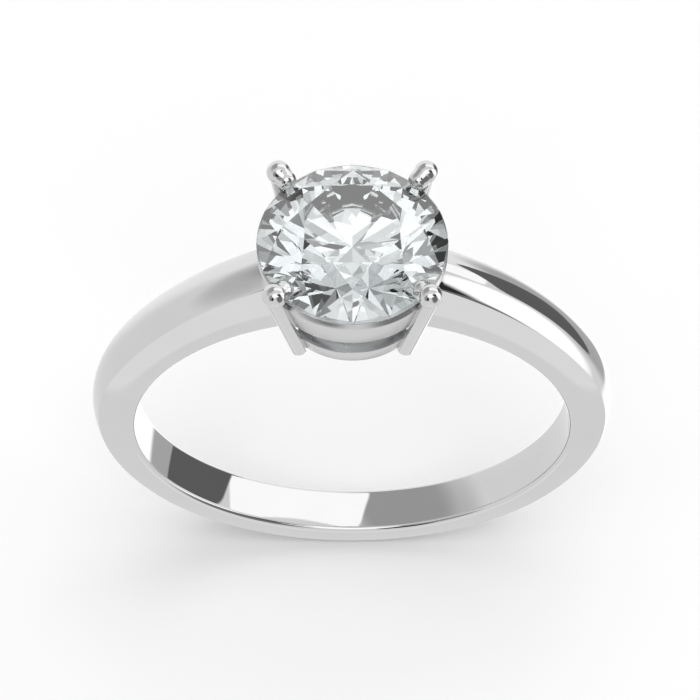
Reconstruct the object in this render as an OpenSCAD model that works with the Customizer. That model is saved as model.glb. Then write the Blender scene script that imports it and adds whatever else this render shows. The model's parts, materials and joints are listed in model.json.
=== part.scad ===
// Four-claw solitaire engagement ring with one round brilliant stone.
// Frame: origin at the centre of the finger hole, +Y along the finger axis,
// +Z up through the middle of the stone, +X to the right. Millimetres.

/* [Finger hole] */
// Inside diameter of the ring (17.35 is US size 7)
finger_d = 17.35; // [14:0.05:22]
// Rounding of the two inner rims, for comfort
rim_r = 0.2; // [0.05:0.05:0.3]

/* [Shank] */
// Width of the shank at the bottom, along the finger
shank_w_bottom = 2.04; // [1.6:0.02:2.6]
// Width of the shank where it meets the head
shank_w_top = 1.8; // [1.5:0.02:2.4]
// Wall of the shank at the bottom, at its side creases
shank_t_bottom = 1.08; // [0.9:0.02:1.6]
// Extra wall at the sides of the hand, where the shoulders start
side_rise = 0.45; // [0:0.05:0.8]
// Drop from the girdle to where the shoulders' side creases meet the head
shoulder_drop = 1.54; // [1:0.02:2]
// Height of the low dome over the outside of the shank
dome_h = 0.3; // [0.1:0.05:0.45]

/* [Stone] */
// Diameter of the round brilliant at its girdle (6.5 is 1 carat)
stone_d = 6.5; // [5:0.1:8]
// Height of the stone's point above the inside of the finger hole
point_lift = 0.735; // [0.3:0.005:1.2]
// Width of the table across its corners, as a share of the diameter
table_share = 0.53; // [0.5:0.01:0.64]
// Slope of the crown's main facets
crown_angle = 34.5; // [32:0.5:36]
// Slope of the pavilion's main facets
pavilion_angle = 40.75; // [39:0.25:42]
// Thickness of the girdle at its thick places
girdle_t = 0.18; // [0.14:0.01:0.3]

/* [Claws] */
// Diameter of the wire of each claw
claw_d = 0.6; // [0.5:0.01:0.8]
// Lean of the claws out from upright
claw_lean = 13.2; // [10:0.2:18]
// How much wider than its wire the bead at the end of each claw is
bead_over = 0.24; // [0.16:0.02:0.36]
// How far the end of the bead reaches in over the stone
bead_reach = 0.38; // [0.2:0.02:0.5]

/* [Rails] */
// Wall of the two rails, measured level
rail_wall = 0.45; // [0.35:0.05:0.7]
// Height of the lower rail's top edge above the finger hole, which it runs along
lower_rail_h = 0.875; // [0.7:0.025:1.1]
// Drop from the girdle to the upper rail's rim
rim_drop = 0.4; // [0.36:0.02:0.5]
// Depth of the upper rail below its rim, at the front and back
upper_rail_h = 1.3; // [0.9:0.05:1.5]
// Height of the bevel above the upper rail's rim
bevel_h = 0.22; // [0.1:0.02:0.3]
// Width of the same bevel, measured level
bevel_w = 0.15; // [0.1:0.01:0.25]
// How far the claws are let into the rails
claw_let_in = 0.12; // [0.08:0.02:0.2]

/* [Fits] */
// Gap between the stone and the metal that holds it
seat_gap = 0.01; // [0.005:0.005:0.03]

/* [Hidden] */
fine = 160;
round_steps = 64;

finger_r = finger_d / 2;
stone_r = stone_d / 2;

// The stone's facets, in eight repeats. Main facets point half a repeat off the
// X and Y axes. The star facets reach halfway out from the table to the girdle,
// and the lower halves reach most of the way down to the point.
repeat = 45;
half_repeat = repeat / 2;
quarter_repeat = repeat / 4;
lower_half_share = 0.23;
girdle_steps = 4;
table_r = table_share * stone_r;
crown_h = (stone_r - table_r) * tan(crown_angle);
pavilion_h = stone_r * tan(pavilion_angle);
girdle_z = finger_r + point_lift + pavilion_h + girdle_t / 2;
star_r = (table_r * cos(half_repeat) + stone_r) / 2;
lower_half_r = lower_half_share * stone_r;
function polar(r, a, z) = [r * cos(a), r * sin(a), z];

// The claws. Their wires lean out in the planes 45 degrees off the X axis, and
// pass the girdle with their inner side just inside the stone's edge.
claw_r = claw_d / 2;
claw_bite = 0.01;
girdle_axis_r = stone_r + claw_r - claw_bite;
function claw_axis_r(z) = girdle_axis_r - (girdle_z - z) * tan(claw_lean);

// The bead sits beside the crown, about halfway up it, and is pushed in until its
// outside stands only a little proud of its wire. Its end is smaller and lies lower,
// and a cone just under the skin joins the two.
bead_up = 0.47;
bead_proud = 0.03;
bead_r = claw_r + bead_over / 2;
bead_shift = bead_r - claw_r - bead_proud;
bead_z = girdle_z + girdle_t / 2 + crown_h * bead_up;
tip_share = 0.83;
tip_r = bead_r * tip_share;
tip_drop = 0.08;
skin = 0.02;
wire_top_z = bead_z - bead_r / 8;
wire_base_z = finger_r - claw_d;

// The head is a cone that the claws are let into: its radius at a height z.
function head_r(z) = claw_axis_r(z) - claw_r + claw_let_in;
rail_rim_z = girdle_z - rim_drop;

// The shank's side creases: their radius at an angle from the top of the ring.
// They swell over the sides of the hand, then rise to meet the head.
shoulder_start = 60;
side = 90;
thin_end = 120;
rise_power = 1.9;
shoulder_z = girdle_z - shoulder_drop;
head_angle = atan(head_r(shoulder_z) / shoulder_z);
function ease(t) = let (u = min(max(t, 0), 1)) u * u * (3 - 2 * u);
function swell(a) = side_rise * ease((thin_end - a) / (thin_end - shoulder_start));
function climb(a) = pow(max(shoulder_start - a, 0) / shoulder_start, rise_power);
shoulder_r = finger_r + shank_t_bottom + side_rise;
shoulder_rise = (shoulder_z / cos(head_angle) - shoulder_r) / climb(head_angle);
function crease_r(a) = finger_r + shank_t_bottom + swell(a) + shoulder_rise * climb(a);
function half_w(a) = (shank_w_top + (shank_w_bottom - shank_w_top) * ease(a / side)) / 2;

// The sweep runs from one end inside the head round to the other, and reaches
// into the finger hole, so that the hole and the head cut it to size.
shank_end = head_angle / 2;
bore_overlap = 0.3;
ring_count = 72;
dome_points = 8;
rim_steps = 6;

// One section of the shank at the angle a: the inner side, then over the dome.
function section(a) = let (w = half_w(abs(a)), r = crease_r(abs(a)), inner = finger_r - bore_overlap)
    [for (p = concat([[inner, w], [inner, -w]],
                     [for (i = [0:dome_points]) let (y = -1 + 2 * i / dome_points)
                         [r + dome_h * (1 - y * y), y * w]]))
        [p[0] * sin(a), p[1], p[0] * cos(a)]];

module shank_sweep() {
    n = dome_points + 3;
    angles = [for (i = [0:ring_count]) shank_end + (360 - 2 * shank_end) * i / ring_count];
    points = [for (a = angles) for (p = section(a > 180 ? a - 360 : a)) p];
    sides = [for (i = [0:ring_count - 1]) for (j = [0:n - 1])
        let (k = (j + 1) % n) each [
            [i * n + j, i * n + k, (i + 1) * n + k],
            [i * n + j, (i + 1) * n + k, (i + 1) * n + j]]];
    caps = [[for (j = [n - 1:-1:0]) j], [for (j = [0:n - 1]) ring_count * n + j]];
    polyhedron(points = points, faces = concat(sides, caps), convexity = 6);
}

// A cylinder round the finger's axis. At the hole's own radius it cuts every piece
// that reaches the hole, and larger ones shape the rails' edges that follow it.
module along_finger(r) {
    rotate([90, 0, 0])
        cylinder(r = r, h = 4 * stone_r, center = true, $fn = fine);
}

// The hole as the shank has it, flared at both ends into rounded rims.
module comfort_hole() {
    w = shank_w_bottom / 2;
    end = 2 * shank_w_bottom;
    half = concat([for (i = [0:rim_steps]) let (a = 90 * i / rim_steps)
                      [finger_r + rim_r * (1 - cos(a)), w - rim_r * (1 - sin(a))]],
                  [[finger_r + rim_r, end], [0, end]]);
    lower_half = [for (i = [len(half) - 1:-1:0]) [half[i][0], -half[i][1]]];
    rotate([90, 0, 0])
        rotate_extrude($fn = fine)
            polygon(concat(half, lower_half));
}

// The cone of the head, as a cutter that copes the ends of the shank.
module head_cone() {
    z0 = finger_r - 2 * bore_overlap;
    z1 = girdle_z;
    translate([0, 0, z0])
        cylinder(h = z1 - z0, r1 = head_r(z0), r2 = head_r(z1), $fn = fine);
}

// The stone, grown about the middle of its girdle by grow at the girdle.
module brilliant(grow = 0) {
    zt = girdle_t / 2;
    zb = -girdle_t / 2;
    star_z = zt + (stone_r - star_r * cos(half_repeat)) * tan(crown_angle);
    low_z = zb - (stone_r - lower_half_r * cos(half_repeat)) * tan(pavilion_angle);
    upper_slope = (star_z - zt) / ((stone_r - star_r) * cos(quarter_repeat));
    lower_slope = (zb - low_z) / ((stone_r - lower_half_r) * cos(quarter_repeat));
    eighths = [0:repeat:360 - repeat];
    table = [for (a = eighths) polar(table_r, a + half_repeat, zt + crown_h)];
    stars = [for (a = eighths) polar(star_r, a, star_z)];
    lows = [for (a = eighths) polar(lower_half_r, a, low_z)];
    edge = [for (a = [0:half_repeat:360 - half_repeat]) for (i = [0:girdle_steps - 1])
        let (d = half_repeat * i / girdle_steps - quarter_repeat,
             dip = stone_r * (cos(quarter_repeat) - cos(d))) each [
                 polar(stone_r, a + quarter_repeat + d, zt + upper_slope * dip),
                 polar(stone_r, a + quarter_repeat + d, zb - lower_slope * dip)]];
    culet = [[0, 0, zb - pavilion_h]];
    corners = concat(table, stars, edge, lows, culet);
    translate([0, 0, girdle_z])
        scale((stone_r + grow) / stone_r)
            hull()
                polyhedron(points = corners, faces = [for (i = [2:len(corners) - 1]) [0, 1, i]]);
}

// One claw's wire in the XZ plane, before its base and its seat are cut.
module claw_wire() {
    length = (wire_top_z - wire_base_z) / cos(claw_lean);
    translate([claw_axis_r(wire_base_z), 0, wire_base_z])
        rotate([0, claw_lean, 0])
            cylinder(h = length, r = claw_r, $fn = round_steps);
}

// The bead, pushed in over the crown.
module claw_bead() {
    x = claw_axis_r(bead_z) - bead_shift;
    reach = norm([bead_reach, tip_drop]);
    translate([x, 0, bead_z]) {
        sphere(r = bead_r, $fn = round_steps);
        rotate([0, -90 - atan2(tip_drop, bead_reach), 0])
            cylinder(h = reach, r1 = bead_r - skin, r2 = tip_r - skin / 2, $fn = round_steps);
    }
    translate([x - bead_reach, 0, bead_z - tip_drop])
        sphere(r = tip_r, $fn = round_steps);
}

module claw(azimuth) {
    color("gainsboro")
        difference() {
            rotate([0, 0, azimuth]) {
                claw_wire();
                claw_bead();
            }
            brilliant(seat_gap);
            along_finger(finger_r);
        }
}

// The grooves that let the four claws into a rail.
module claw_grooves() {
    for (azimuth = [45:90:315])
        rotate([0, 0, azimuth])
            claw_wire();
}

// A ring of the head's cone, from z0 up to its rim at z1, bevelled or plain.
module head_ring(z0, z1, bevelled = false) {
    top_z = bevelled ? z1 + bevel_h : z1;
    bevel = bevelled ? [[head_r(z1) - bevel_w, top_z]] : [];
    rotate_extrude($fn = fine)
        polygon(concat([[head_r(z0) - rail_wall, z0], [head_r(z0), z0], [head_r(z1), z1]],
                       bevel,
                       [[head_r(z1) - rail_wall, top_z]]));
}

module lower_rail() {
    top_r = finger_r + lower_rail_h;
    color("silver")
        difference() {
            intersection() {
                head_ring(finger_r - 2 * rail_wall, top_r + rail_wall);
                along_finger(top_r);
            }
            claw_grooves();
            along_finger(finger_r);
        }
}

module upper_rail() {
    low_r = rail_rim_z - upper_rail_h;
    color("lightgray")
        difference() {
            head_ring(low_r - 2 * rail_wall, rail_rim_z, bevelled = true);
            claw_grooves();
            along_finger(low_r);
            brilliant(seat_gap);
        }
}

module shank() {
    color("whitesmoke")
        difference() {
            shank_sweep();
            comfort_hole();
            head_cone();
        }
}

module diamond() {
    color("lightcyan")
        brilliant();
}

shank();
lower_rail();
upper_rail();
claw(225);  // claw_front_left
claw(315);  // claw_front_right
claw(135);  // claw_back_left
claw(45);  // claw_back_right
diamond();
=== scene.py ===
"""A solitaire ring in polished white gold: a low-domed band that rises into its shoulders,
an open basket of two rails and four round claws, and one round brilliant stone.
Pieces are modelled in millimetres and brought to metres when they are finished."""

import math

import bmesh
import bpy
from mathutils import Matrix, Vector
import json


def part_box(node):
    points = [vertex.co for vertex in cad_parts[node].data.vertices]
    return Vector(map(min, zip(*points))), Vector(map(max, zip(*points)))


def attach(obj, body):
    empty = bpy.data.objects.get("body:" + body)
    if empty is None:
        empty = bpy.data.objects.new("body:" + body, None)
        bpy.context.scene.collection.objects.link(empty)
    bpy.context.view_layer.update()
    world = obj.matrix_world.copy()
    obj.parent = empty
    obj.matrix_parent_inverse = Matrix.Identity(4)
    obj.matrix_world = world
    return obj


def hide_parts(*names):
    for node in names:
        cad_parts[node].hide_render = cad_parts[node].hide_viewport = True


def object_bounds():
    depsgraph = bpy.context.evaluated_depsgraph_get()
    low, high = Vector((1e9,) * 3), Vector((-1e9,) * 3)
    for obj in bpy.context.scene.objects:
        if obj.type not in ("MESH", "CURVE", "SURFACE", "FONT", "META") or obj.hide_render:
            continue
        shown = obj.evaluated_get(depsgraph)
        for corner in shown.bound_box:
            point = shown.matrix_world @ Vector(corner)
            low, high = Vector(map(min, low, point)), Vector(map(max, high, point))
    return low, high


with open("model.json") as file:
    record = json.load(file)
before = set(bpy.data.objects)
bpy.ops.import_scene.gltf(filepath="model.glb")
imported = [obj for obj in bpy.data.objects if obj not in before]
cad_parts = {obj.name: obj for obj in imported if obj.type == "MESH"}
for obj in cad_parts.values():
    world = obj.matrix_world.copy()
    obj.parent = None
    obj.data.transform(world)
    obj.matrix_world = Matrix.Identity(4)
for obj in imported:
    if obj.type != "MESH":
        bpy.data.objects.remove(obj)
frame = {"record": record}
cad_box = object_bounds()


# --- Camera and stage -------------------------------------------------------------------
# The ring stands on its band on a pale floor, and is seen from above its front.

view_elevation = math.radians(58.83)
view_distance = 0.060
aim = Vector((-0.00008, 0.0, 0.00526))
lens = 81.92

camera_data = bpy.data.cameras.new("camera")
camera_data.lens = lens
camera_data.clip_start = 0.001
camera_data.clip_end = 10
camera = bpy.data.objects.new("camera", camera_data)
camera.location = aim + view_distance * Vector((0, -math.cos(view_elevation), math.sin(view_elevation)))
camera.rotation_euler = (math.pi / 2 - view_elevation, 0, 0)
bpy.context.collection.objects.link(camera)
bpy.context.scene.camera = camera

floor_z = cad_box[0].z
floor_size = 4.0
floor_white = 0.88
floor_roughness = 0.9

bm = bmesh.new()
bmesh.ops.create_grid(bm, x_segments=1, y_segments=1, size=floor_size / 2)
bmesh.ops.translate(bm, vec=(0, 0, floor_z), verts=bm.verts)
floor_mesh = bpy.data.meshes.new("floor")
bm.to_mesh(floor_mesh)
bm.free()
floor = bpy.data.objects.new("floor", floor_mesh)
bpy.context.collection.objects.link(floor)

floor_paint = bpy.data.materials.new("white_floor")
floor_paint.use_nodes = True
floor_shader = floor_paint.node_tree.nodes["Principled BSDF"]
floor_shader.inputs["Base Color"].default_value = (floor_white, floor_white, floor_white, 1)
floor_shader.inputs["Roughness"].default_value = floor_roughness
floor_shader.inputs["Specular IOR Level"].default_value = 0.0
floor_mesh.materials.append(floor_paint)


# --- Studio light -----------------------------------------------------------------------
# A pale tent all round the ring, with lamps, cards and dark gaps in its walls, which are
# what polished metal and the stone show. One soft disk overhead lights only the floor.
# Azimuth 0 is straight behind the ring and 90 is to its right, both in degrees.

world = bpy.data.worlds.new("studio")
world.use_nodes = True
tent, wires = world.node_tree.nodes, world.node_tree.links
tent_brightness = 0.86
seen_from_ring = tent.new("ShaderNodeTexCoord").outputs["Generated"]
tent_value = tent.new("ShaderNodeValue")
tent_value.outputs[0].default_value = tent_brightness


def heading(azimuth, elevation):
    a, e = math.radians(azimuth), math.radians(elevation)
    return Vector((math.sin(a) * math.cos(e), math.cos(a) * math.cos(e), math.sin(e)))


def along(axis):
    """How far a line of sight reaches along an axis, from -1 to 1."""
    node = tent.new("ShaderNodeVectorMath")
    node.operation = "DOT_PRODUCT"
    node.inputs[1].default_value = axis
    wires.new(seen_from_ring, node.inputs[0])
    return node.outputs["Value"]


def work_out(operation, first, second):
    node = tent.new("ShaderNodeMath")
    node.operation = operation
    for socket, value in zip(node.inputs, (first, second)):
        if isinstance(value, (int, float)):
            socket.default_value = value
        else:
            wires.new(value, socket)
    return node.outputs["Value"]


def patch(light, azimuth, elevation, wide, high, softness, brightness, turn=0, squareness=2):
    """The light with a patch laid over it, wide and high degrees from centre to edge.

    A squareness of 2 makes it an oval, and more makes it a rounded rectangle."""
    centre = heading(azimuth, elevation)
    across = Vector((0, 0, 1)).cross(centre).normalized()
    up = centre.cross(across)
    across.rotate(Matrix.Rotation(math.radians(turn), 3, centre))
    up.rotate(Matrix.Rotation(math.radians(turn), 3, centre))
    u = work_out("POWER", work_out("DIVIDE", along(across), math.sin(math.radians(wide))), squareness)
    v = work_out("POWER", work_out("DIVIDE", along(up), math.sin(math.radians(high))), squareness)
    edge = tent.new("ShaderNodeMapRange")
    edge.interpolation_type = "SMOOTHSTEP"
    edge.inputs["From Min"].default_value = 1 - softness
    edge.inputs["From Max"].default_value = 1 + softness
    edge.inputs["To Min"].default_value = 1
    edge.inputs["To Max"].default_value = 0
    wires.new(work_out("ADD", u, v), edge.inputs["Value"])
    facing = work_out("GREATER_THAN", along(centre), 0)
    mix = tent.new("ShaderNodeMix")
    mix.data_type = "FLOAT"
    mix.inputs["B"].default_value = brightness
    wires.new(work_out("MULTIPLY", edge.outputs["Result"], facing), mix.inputs["Factor"])
    wires.new(light, mix.inputs["A"])
    return mix.outputs["Result"]


light = tent_value.outputs[0]

# The back wall, and a dimmer stretch of it to the left.
light = patch(light, 0, 0, 52, 50, 0.3, 1.05)
light = patch(light, -80, 32, 30, 16, 0.9, 0.6)
# Dark cloths on both sides of the front, which show in the stone and the beads.
light = patch(light, 135, 15, 26, 38, 0.5, 0.2)
light = patch(light, -143, 26, 17, 28, 0.3, 0.36)
# The main lamp, above the front, with two dark cards beside it.
light = patch(light, 165, 57, 32, 20, 0.1, 1.4)
light = patch(light, 118, 42, 9, 22, 0.2, 0.03, turn=30)
light = patch(light, -160, 20, 10, 16, 0.2, 0.03)
# A grey card high at the back left, then the long lamp high at the back right.
light = patch(light, -45, 52, 32, 23, 0.5, 0.42)
light = patch(light, 41, 46, 35, 12, 0.1, 1.35, turn=50, squareness=6)
# A dark gap low at the back right, which draws the dark strip inside the band.
light = patch(light, 50, -22, 22, 24, 0.4, 0.5, turn=-30)
light = patch(light, 56, -6, 15, 20, 0.2, 0.14, squareness=6)
# A tall lamp at the right, and the bright table below the front and the back right.
light = patch(light, 92, 8, 17, 33, 0.35, 1.5)
light = patch(light, 180, -47, 24, 12, 0.1, 0.96)
light = patch(light, 35, -56, 34, 12, 0.3, 1.4)

backdrop = tent["Background"]
backdrop.inputs["Color"].default_value = (1, 1, 1, 1)
wires.new(light, backdrop.inputs["Strength"])
bpy.context.scene.world = world
bpy.context.scene.view_settings.view_transform = "Standard"

# The tent already holds what the metal and the stone mirror, so the floor stays out of both.
floor.visible_glossy = False
floor.visible_transmission = False

overhead_size = 0.5
overhead_height = 0.5
overhead_watts = 0.95
overhead_data = bpy.data.lights.new("overhead", "AREA")
overhead_data.shape = "DISK"
overhead_data.size = overhead_size
overhead_data.energy = overhead_watts
overhead = bpy.data.objects.new("overhead", overhead_data)
overhead.location = (0, 0, overhead_height)
overhead.visible_glossy = False
overhead.visible_transmission = False
bpy.context.collection.objects.link(overhead)


# --- Band -------------------------------------------------------------------------------
# The band is one piece of white gold, drawn to section, bent round a mandrel and filed.
# It swells over the sides of the hand, then rises into two shoulders that butt on the
# head. Its inner rims are rounded for comfort and its outside is a low dome.

METRE = 0.001
band_low, band_high = (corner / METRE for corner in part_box("shank"))
finger_r = frame["record"]["mounts"][0]["dims"]["r_mm"]
stone_low, stone_high = (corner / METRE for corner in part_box("diamond"))
stone_r = stone_high.x

dome_h = 0.3
dome_steps = 24
band_steps = 288
band_half_w = band_high.y
band_half_w_top = 0.9
side = 90
crease_bottom = -band_low.z - dome_h
side_rise = 0.45
shoulder_start = 60
thin_end = 120
rise_power = 1.9
rim_r = 0.2
crease_softness = 0.05
shoulder_drop = 1.54
shade_break = 35

# The stone's angles and the head's cone, which the shoulders, rails and claws all meet.
girdle_t = 0.18
pavilion_angle = math.radians(40.75)
crown_angle = math.radians(34.5)
girdle_z = stone_low.z + stone_r * math.tan(pavilion_angle) + girdle_t / 2
claw_r = 0.3
claw_lean = math.radians(13.2)
claw_bite = 0.01
claw_let_in = 0.12


def claw_axis_r(z):
    return stone_r + claw_r - claw_bite - (girdle_z - z) * math.tan(claw_lean)


def head_r(z):
    return claw_axis_r(z) - claw_r + claw_let_in


def ease(t):
    u = min(max(t, 0), 1)
    return u * u * (3 - 2 * u)


shoulder_z = girdle_z - shoulder_drop
head_angle = math.degrees(math.atan(head_r(shoulder_z) / shoulder_z))
shoulder_r = crease_bottom + side_rise
shoulder_rise = (shoulder_z / math.cos(math.radians(head_angle)) - shoulder_r) / (
    ((shoulder_start - head_angle) / shoulder_start) ** rise_power)


def crease_r(a):
    """Radius of the side creases at a degrees from the top of the ring."""
    swell = side_rise * ease((thin_end - a) / (thin_end - shoulder_start))
    climb = (max(shoulder_start - a, 0) / shoulder_start) ** rise_power
    return crease_bottom + swell + shoulder_rise * climb


def half_width(a):
    return band_half_w_top + (band_half_w - band_half_w_top) * ease(a / side)


def to_metres(bm, name, smooth_under=None):
    """Turns a finished bmesh in millimetres into an object in metres at the origin."""
    bmesh.ops.scale(bm, vec=(METRE, METRE, METRE), verts=bm.verts)
    mesh = bpy.data.meshes.new(name)
    bm.to_mesh(mesh)
    bm.free()
    if smooth_under:
        mesh.shade_smooth()
        mesh.set_sharp_from_angle(angle=math.radians(smooth_under))
    piece = bpy.data.objects.new(name, mesh)
    bpy.context.collection.objects.link(piece)
    return piece


def on_head_cone(r, y):
    """The angle from the top, in degrees, at which a line round the band meets the head."""
    a = head_angle
    for _ in range(30):
        z = r(a) * math.cos(math.radians(a))
        x = math.sqrt(max(head_r(z) ** 2 - y(a) ** 2, 0))
        a = math.degrees(math.atan2(x, z))
    return a


bm = bmesh.new()
corners = [(finger_r, band_half_w), (finger_r, -band_half_w)]
for i in range(dome_steps + 1):
    across = 2 * i / dome_steps - 1
    corners.append((crease_bottom + dome_h * (1 - across ** 2), across * band_half_w))
section = [bm.verts.new((0, y, r)) for r, y in corners]
edges = [bm.edges.new((section[i], section[(i + 1) % len(section)])) for i in range(len(section))]
plain_start = 12
plain_sweep = 360 - 2 * plain_start
bmesh.ops.rotate(bm, verts=bm.verts, cent=(0, 0, 0),
                 matrix=Matrix.Rotation(math.radians(plain_start), 3, "Y"))
bmesh.ops.spin(bm, geom=section + edges, cent=(0, 0, 0), axis=(0, 1, 0), dvec=(0, 0, 0),
               angle=math.radians(plain_sweep), steps=band_steps, use_merge=False, use_duplicate=False)

for v in bm.verts:
    plain_r, plain_y = math.hypot(v.co.x, v.co.z), v.co.y
    lift = plain_r - crease_bottom
    is_inner = lift < -0.5 * (crease_bottom - finger_r)

    def local_r(a):
        return finger_r if is_inner else crease_r(a) + lift

    def local_y(a):
        return plain_y * half_width(a) / band_half_w

    start = on_head_cone(local_r, local_y)
    plain_a = math.degrees(math.atan2(v.co.x, v.co.z)) % 360
    a = start + (360 - 2 * start) * (plain_a - plain_start) / plain_sweep
    from_top = min(a, 360 - a)
    r = local_r(from_top)
    v.co = (r * math.sin(math.radians(a)), local_y(from_top), r * math.cos(math.radians(a)))

bmesh.ops.holes_fill(bm, edges=bm.edges, sides=0)
bmesh.ops.recalc_face_normals(bm, faces=bm.faces)


def corners_round_band(lowest, highest):
    """The section's sharp corners, as edges that run round the band between two radii."""
    found = []
    for edge in bm.edges:
        if len(edge.link_faces) != 2 or edge.calc_face_angle(0) < sharp_corner:
            continue
        reach = [math.hypot(v.co.x, v.co.z) for v in edge.verts]
        turn = [abs(math.atan2(v.co.x, v.co.z)) for v in edge.verts]
        if abs(turn[0] - turn[1]) > 1e-4 and lowest <= min(reach) and max(reach) < highest:
            found.append(edge)
    return found


def round_off(bm, edges, softness, segments):
    bmesh.ops.bevel(bm, geom=edges, offset=softness, offset_type="OFFSET", segments=segments,
                    profile=0.5, affect="EDGES", material=-1, clamp_overlap=True)


sharp_corner = math.radians(20)
just_outside_hole = finger_r + 0.01
round_off(bm, corners_round_band(0, just_outside_hole), rim_r, 6)
round_off(bm, corners_round_band(just_outside_hole, math.inf), crease_softness, 3)
band = to_metres(bm, "band", smooth_under=shade_break)


white_gold = (0.7, 0.7, 0.7)


def polished_metal(name, roughness):
    """Rhodium-bright white gold off the polishing wheel: faint haze, hair-fine wheel lines."""
    material = bpy.data.materials.new(name)
    material.use_nodes = True
    nodes, links = material.node_tree.nodes, material.node_tree.links
    shader = nodes["Principled BSDF"]
    shader.inputs["Metallic"].default_value = 1.0
    place = nodes.new("ShaderNodeTexCoord")
    haze = nodes.new("ShaderNodeTexNoise")
    haze.inputs["Scale"].default_value = 500
    haze.inputs["Detail"].default_value = 3
    links.new(place.outputs["Object"], haze.inputs["Vector"])
    tone = nodes.new("ShaderNodeMapRange")
    tone.inputs["To Min"].default_value = 0.97
    tone.inputs["To Max"].default_value = 1.03
    links.new(haze.outputs["Fac"], tone.inputs["Value"])
    colour = nodes.new("ShaderNodeMix")
    colour.data_type = "RGBA"
    colour.blend_type = "MULTIPLY"
    colour.inputs["Factor"].default_value = 1.0
    colour.inputs["A"].default_value = (*white_gold, 1)
    links.new(tone.outputs["Result"], colour.inputs["B"])
    links.new(colour.outputs["Result"], shader.inputs["Base Color"])
    gloss = nodes.new("ShaderNodeMapRange")
    gloss.inputs["To Min"].default_value = roughness * 0.7
    gloss.inputs["To Max"].default_value = roughness * 1.3
    links.new(haze.outputs["Fac"], gloss.inputs["Value"])
    links.new(gloss.outputs["Result"], shader.inputs["Roughness"])
    stretch = nodes.new("ShaderNodeMapping")
    stretch.inputs["Scale"].default_value = (1500, 30000, 1500)
    links.new(place.outputs["Object"], stretch.inputs["Vector"])
    lines = nodes.new("ShaderNodeTexNoise")
    lines.inputs["Scale"].default_value = 1.0
    lines.inputs["Detail"].default_value = 2
    links.new(stretch.outputs["Vector"], lines.inputs["Vector"])
    relief = nodes.new("ShaderNodeBump")
    relief.inputs["Strength"].default_value = 0.02
    relief.inputs["Distance"].default_value = 0.00001
    links.new(lines.outputs["Fac"], relief.inputs["Height"])
    links.new(relief.outputs["Normal"], shader.inputs["Normal"])
    return material


band.data.materials.append(polished_metal("polished_band", 0.03))
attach(band, "root")
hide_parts("shank")


# --- Rails ------------------------------------------------------------------------------
# Two rings of white gold, turned to the cone of the head and soldered to the claws. Their
# facing edges follow the finger hole, and the upper one is bevelled and cut to seat the
# stone. Their polish is softer than the band's, so they look an even grey.

rail_wall = 0.45
edge_softness = 0.03
rim_drop = 0.4
bevel_h = 0.22
bevel_w = 0.15
seat_gap = 0.03
rail_steps = 192


def spun_ring(outline):
    """A ring spun from its outline of (radius, height) corners."""
    bm = bmesh.new()
    corners = [bm.verts.new((r, 0, z)) for r, z in outline]
    ring = [bm.edges.new((corners[i], corners[(i + 1) % len(corners)])) for i in range(len(corners))]
    bmesh.ops.spin(bm, geom=corners + ring, cent=(0, 0, 0), axis=(0, 0, 1), dvec=(0, 0, 0),
                   angle=math.tau, steps=rail_steps, use_merge=True, use_duplicate=False)
    bmesh.ops.remove_doubles(bm, verts=bm.verts, dist=1e-5)
    bmesh.ops.recalc_face_normals(bm, faces=bm.faces)
    return bm


def ease_corners(bm):
    sharp = [e for e in bm.edges if len(e.link_faces) == 2 and e.calc_face_angle(0) > sharp_corner]
    round_off(bm, sharp, edge_softness, 3)


upper_rim_z = girdle_z - rim_drop
lower_top_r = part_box("lower_rail")[1].z / METRE
upper_low_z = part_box("upper_rail")[0].z / METRE
upper_low_r = math.hypot(upper_low_z, head_r(upper_low_z))


def crossing(r1, slope1, r2, slope2):
    """Where two straight sides of the rail's section meet, from their radius at height 0."""
    z = (r2 - r1) / (slope1 - slope2)
    return r1 + slope1 * z, z


def follow_finger(vert, reach):
    """Slides a corner of a rail along the head's cone, to a distance from the finger's axis."""
    around = math.atan2(vert.co.y, vert.co.x)
    inset = head_r(vert.co.z) - math.hypot(vert.co.x, vert.co.y)
    z = vert.co.z
    for _ in range(20):
        r = head_r(z) - inset
        z = math.sqrt(reach ** 2 - (r * math.cos(around)) ** 2)
    vert.co = (r * math.cos(around), r * math.sin(around), z)


seat_slope = 1 / math.tan(pavilion_angle)
seat_r = seat_gap - stone_low.z * seat_slope
bevel_slope = -bevel_w / bevel_h
bevel_r = head_r(upper_rim_z) - upper_rim_z * bevel_slope
inner_r = head_r(0) - rail_wall

bm = spun_ring([(head_r(finger_r) - rail_wall, finger_r), (head_r(finger_r), finger_r),
                (head_r(lower_top_r), lower_top_r), (head_r(lower_top_r) - rail_wall, lower_top_r)])
rail_middle = (finger_r + lower_top_r) / 2
for v in bm.verts:
    follow_finger(v, finger_r if v.co.z < rail_middle else lower_top_r)
ease_corners(bm)
lower = to_metres(bm, "base_rail", smooth_under=shade_break)
lower.data.materials.append(polished_metal("polished_rails", 0.28))
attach(lower, "root")
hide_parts("lower_rail")

bm = spun_ring([(head_r(upper_low_r) - rail_wall, upper_low_r), (head_r(upper_low_r), upper_low_r),
                (head_r(upper_rim_z), upper_rim_z), crossing(bevel_r, bevel_slope, seat_r, seat_slope),
                crossing(inner_r, math.tan(claw_lean), seat_r, seat_slope)])
for v in bm.verts:
    if v.co.z < upper_low_r + edge_softness:
        follow_finger(v, upper_low_r)
ease_corners(bm)
upper = to_metres(bm, "gallery_rail", smooth_under=shade_break)
upper.data.materials.append(lower.data.materials[0])
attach(upper, "root")
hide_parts("upper_rail")


# --- Stone ------------------------------------------------------------------------------
# A round brilliant, cut facet by facet from a turned blank: the table, eight stars, eight
# mains and sixteen halves above the girdle, eight mains and sixteen halves below it.

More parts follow.
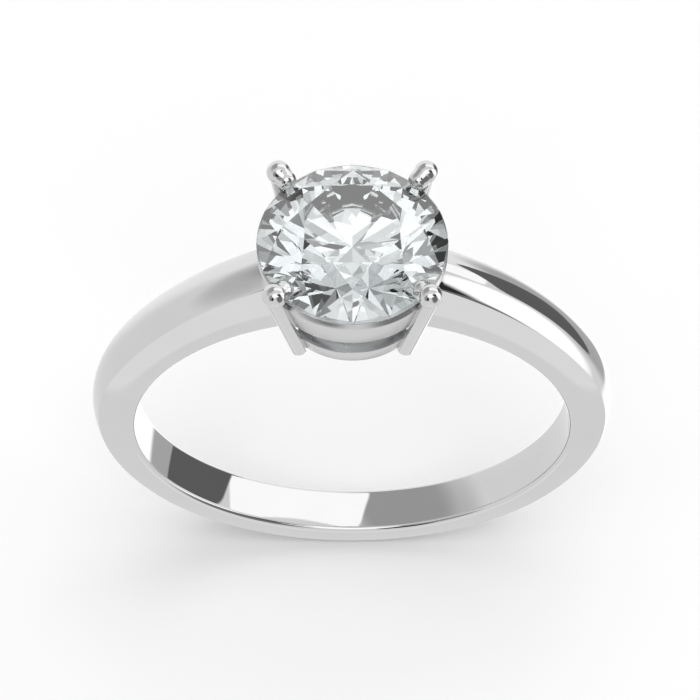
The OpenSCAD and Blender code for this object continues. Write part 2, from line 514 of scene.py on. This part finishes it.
half_repeat = math.radians(22.5)
quarter_repeat = half_repeat / 2
table_share = 0.53
lower_half_share = 0.23
blank_segments = 128
table_r = table_share * stone_r
lower_half_r = lower_half_share * stone_r
star_r = (table_r * math.cos(half_repeat) + stone_r) / 2
upper_edge = girdle_t / 2
lower_edge = -girdle_t / 2
star_z = upper_edge + (stone_r - star_r * math.cos(half_repeat)) * math.tan(crown_angle)
low_z = lower_edge - (stone_r - lower_half_r * math.cos(half_repeat)) * math.tan(pavilion_angle)
table_z = upper_edge + (stone_r - table_r) * math.tan(crown_angle)


def polar(r, a, z):
    return Vector((r * math.cos(a), r * math.sin(a), z))


def cut_facet(bm, point, slope, azimuth, up):
    """Grinds one flat facet: a plane through the point, that falls away by slope outwards."""
    normal = Vector((math.cos(azimuth) * slope, math.sin(azimuth) * slope, up)).normalized()
    bmesh.ops.bisect_plane(bm, geom=bm.verts[:] + bm.edges[:] + bm.faces[:], dist=1e-4,
                           plane_co=point, plane_no=normal, clear_outer=True, clear_inner=False)
    bmesh.ops.remove_doubles(bm, verts=bm.verts, dist=1e-4)
    bmesh.ops.holes_fill(bm, edges=[e for e in bm.edges if e.is_boundary], sides=0)


def brilliant():
    bm = bmesh.new()
    bmesh.ops.create_cone(bm, cap_ends=True, segments=blank_segments, radius1=stone_r,
                          radius2=stone_r, depth=3 * stone_r)
    crown_half = (star_z - upper_edge) / ((stone_r - star_r) * math.cos(quarter_repeat))
    pavilion_half = (lower_edge - low_z) / ((stone_r - lower_half_r) * math.cos(quarter_repeat))
    cut_facet(bm, Vector((0, 0, table_z)), 0, 0, 1)
    star_slope = (table_z - star_z) / (star_r - table_r * math.cos(half_repeat))
    for i in range(8):
        a = i * 2 * half_repeat
        main = a + half_repeat
        cut_facet(bm, polar(stone_r, main, upper_edge), math.tan(crown_angle), main, 1)
        cut_facet(bm, polar(star_r, a, star_z), star_slope, a, 1)
        cut_facet(bm, polar(stone_r, main, lower_edge), math.tan(pavilion_angle), main, -1)
        for turn in (-quarter_repeat, quarter_repeat):
            cut_facet(bm, polar(star_r, a, star_z), crown_half, a + turn, 1)
            cut_facet(bm, polar(lower_half_r, a, low_z), pavilion_half, a + turn, -1)
    bmesh.ops.remove_doubles(bm, verts=bm.verts, dist=1e-5)
    bmesh.ops.recalc_face_normals(bm, faces=bm.faces)
    for face in bm.faces:
        face.smooth = abs(face.normal.z) < 0.01
    bmesh.ops.translate(bm, vec=(0, 0, girdle_z), verts=bm.verts)
    return bm


stone = to_metres(brilliant(), "round_brilliant")

crystal = bpy.data.materials.new("colourless_stone")
crystal.use_nodes = True
nodes, links = crystal.node_tree.nodes, crystal.node_tree.links
shader = nodes["Principled BSDF"]
shader.inputs["Transmission Weight"].default_value = 1.0
shader.inputs["IOR"].default_value = 2.417
place = nodes.new("ShaderNodeTexCoord")
growth = nodes.new("ShaderNodeTexNoise")
growth.inputs["Scale"].default_value = 400
links.new(place.outputs["Object"], growth.inputs["Vector"])
body = nodes.new("ShaderNodeMix")
body.data_type = "RGBA"
body.inputs["A"].default_value = (0.76, 0.81, 0.83, 1)
body.inputs["B"].default_value = (0.85, 0.89, 0.90, 1)
links.new(growth.outputs["Fac"], body.inputs["Factor"])
links.new(body.outputs["Result"], shader.inputs["Base Color"])
height = nodes.new("ShaderNodeSeparateXYZ")
links.new(place.outputs["Object"], height.inputs["Vector"])
off_girdle = nodes.new("ShaderNodeMath")
off_girdle.operation = "SUBTRACT"
off_girdle.inputs[1].default_value = girdle_z * METRE
links.new(height.outputs["Z"], off_girdle.inputs[0])
distance = nodes.new("ShaderNodeMath")
distance.operation = "ABSOLUTE"
links.new(off_girdle.outputs["Value"], distance.inputs[0])
frost = nodes.new("ShaderNodeMapRange")
frost.inputs["From Min"].default_value = girdle_t / 2 * METRE
frost.inputs["From Max"].default_value = girdle_t / 2 * METRE * 1.1
frost.inputs["To Min"].default_value = 0.3
frost.inputs["To Max"].default_value = 0.0
links.new(distance.outputs["Value"], frost.inputs["Value"])
links.new(frost.outputs["Result"], shader.inputs["Roughness"])
polish = nodes.new("ShaderNodeTexNoise")
polish.inputs["Scale"].default_value = 900
links.new(place.outputs["Object"], polish.inputs["Vector"])
relief = nodes.new("ShaderNodeBump")
relief.inputs["Strength"].default_value = 0.001
relief.inputs["Distance"].default_value = 0.000001
links.new(polish.outputs["Fac"], relief.inputs["Height"])
links.new(relief.outputs["Normal"], shader.inputs["Normal"])
stone.data.materials.append(crystal)
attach(stone, "root")
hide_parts("diamond")


# --- Claws ------------------------------------------------------------------------------
# Four round wires of white gold, let into the rails and cut flush with the finger hole.
# Each is melted back into a bead, notched for the stone and pushed in over its edge.

bead_r = claw_r + 0.12
tip_r = 0.83 * bead_r
bead_z = girdle_z + girdle_t / 2 + (table_z - upper_edge) * 0.47
bead_shift = 0.09
bead_reach = 0.38
tip_drop = 0.08
wire_base_z = finger_r - 2 * claw_r
wire_segments = 48
bead_subdivisions = 5
under_bead = 0.97
under_tip = 0.98
melt_voxel = 0.02
soften_steps = 8
seat_growth = 0.01

claw_metal = polished_metal("polished_claws", 0.03)


def on_bench(bm, name):
    """Turns a bmesh into a scratch object, still in millimetres, for a modifier to work on."""
    mesh = bpy.data.meshes.new(name)
    bm.to_mesh(mesh)
    bm.free()
    scratch = bpy.data.objects.new(name, mesh)
    bpy.context.collection.objects.link(scratch)
    return scratch


def off_bench(scratch):
    """Applies a scratch object's modifiers, and returns the result as a bmesh."""
    result = bmesh.new()
    result.from_mesh(bpy.data.meshes.new_from_object(
        scratch.evaluated_get(bpy.context.evaluated_depsgraph_get())))
    bpy.data.objects.remove(scratch)
    return result


def claw_blank(azimuth):
    """A claw's wire, bead and tip as closed solids that overlap."""
    bm = bmesh.new()
    base = Vector((claw_axis_r(wire_base_z), 0, wire_base_z))
    top = Vector((claw_axis_r(bead_z), 0, bead_z))
    lean = Matrix.Rotation(claw_lean, 4, "Y")
    bmesh.ops.create_cone(bm, cap_ends=True, segments=wire_segments, radius1=claw_r, radius2=claw_r,
                          depth=(top - base).length, matrix=Matrix.Translation((base + top) / 2) @ lean)
    bead = Vector((claw_axis_r(bead_z) - bead_shift, 0, bead_z))
    tip = bead + Vector((-bead_reach, 0, -tip_drop))
    for centre, radius in ((bead, bead_r), (tip, tip_r)):
        bmesh.ops.create_icosphere(bm, subdivisions=bead_subdivisions, radius=radius,
                                   matrix=Matrix.Translation(centre))
    along_bead = (tip - bead).to_track_quat("Z", "Y").to_matrix().to_4x4()
    bmesh.ops.create_cone(bm, cap_ends=True, segments=wire_segments, radius1=bead_r * under_bead,
                          radius2=tip_r * under_tip, depth=(tip - bead).length,
                          matrix=Matrix.Translation((bead + tip) / 2) @ along_bead)
    bmesh.ops.rotate(bm, verts=bm.verts, cent=(0, 0, 0),
                     matrix=Matrix.Rotation(math.radians(azimuth), 3, "Z"))
    return bm


def claw(name, azimuth, node):
    rough = on_bench(claw_blank(azimuth), name + "_rough")
    melt = rough.modifiers.new("melt", "REMESH")
    melt.mode = "VOXEL"
    melt.voxel_size = melt_voxel
    soften = rough.modifiers.new("soften", "SMOOTH")
    soften.iterations = soften_steps
    soften.factor = 0.5
    bm = off_bench(rough)

    foot = Vector((math.cos(math.radians(azimuth)) * claw_axis_r(finger_r), 0, finger_r)).normalized()
    cut = bmesh.ops.bisect_plane(bm, geom=bm.verts[:] + bm.edges[:] + bm.faces[:], dist=1e-6,
                                 plane_co=foot * finger_r, plane_no=foot, clear_inner=True, clear_outer=False)
    rim = [e for e in cut["geom_cut"] if isinstance(e, bmesh.types.BMEdge)]
    bmesh.ops.holes_fill(bm, edges=rim, sides=0)

    whole = on_bench(bm, name + "_whole")
    notch = whole.modifiers.new("notch", "BOOLEAN")
    notch.solver = "EXACT"
    notch.object = seat_burr
    piece = to_metres(off_bench(whole), name, smooth_under=shade_break)
    piece.data.materials.clear()
    piece.data.materials.append(claw_metal)
    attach(piece, "root")
    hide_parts(node)


grown = brilliant()
growth_share = (stone_r + seat_growth) / stone_r
bmesh.ops.scale(grown, vec=(growth_share, growth_share, growth_share),
                space=Matrix.Translation((0, 0, -girdle_z)), verts=grown.verts)
seat_burr = on_bench(grown, "seat_burr")
for corner, azimuth in (("front_left", 225), ("front_right", 315), ("back_left", 135), ("back_right", 45)):
    claw("claw_wire_" + corner, azimuth, "claw_" + corner)
bpy.data.objects.remove(seat_burr)
